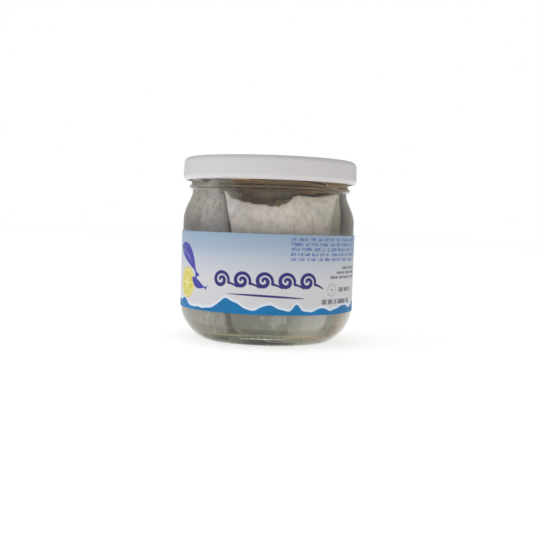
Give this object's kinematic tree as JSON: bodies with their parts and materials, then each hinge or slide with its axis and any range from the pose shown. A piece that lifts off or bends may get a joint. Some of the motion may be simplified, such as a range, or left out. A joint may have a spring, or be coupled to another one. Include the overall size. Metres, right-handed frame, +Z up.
{
  "type": "jar of rollmops",
  "caption": "Squat clear glass jar of rolled pickled fish fillets in brine, with a white metal twist-off lid and a paper label wrapped round its body.",
  "frame": {"origin": "on the jar's axis, in the plane that the jar stands on", "axes": "+Z up along the jar's axis, -Y towards the front of the label, +X to the right as the label is read"},
  "size_m": [0.086, 0.086, 0.0889],
  "materials": {
    "glass": "clear pressed soda-lime glass",
    "lacquered_tinplate": "white satin lacquer on tinplate",
    "label_paper": "coated paper, printed in light blue, white and indigo",
    "pickled_fish": "wet silvery skin, pinkish grey"
  },
  "bodies": {
    "root": {"jar": "glass", "lid": "lacquered_tinplate", "label": "label_paper", "rollmops": "pickled_fish"}
  },
  "joints": []
}
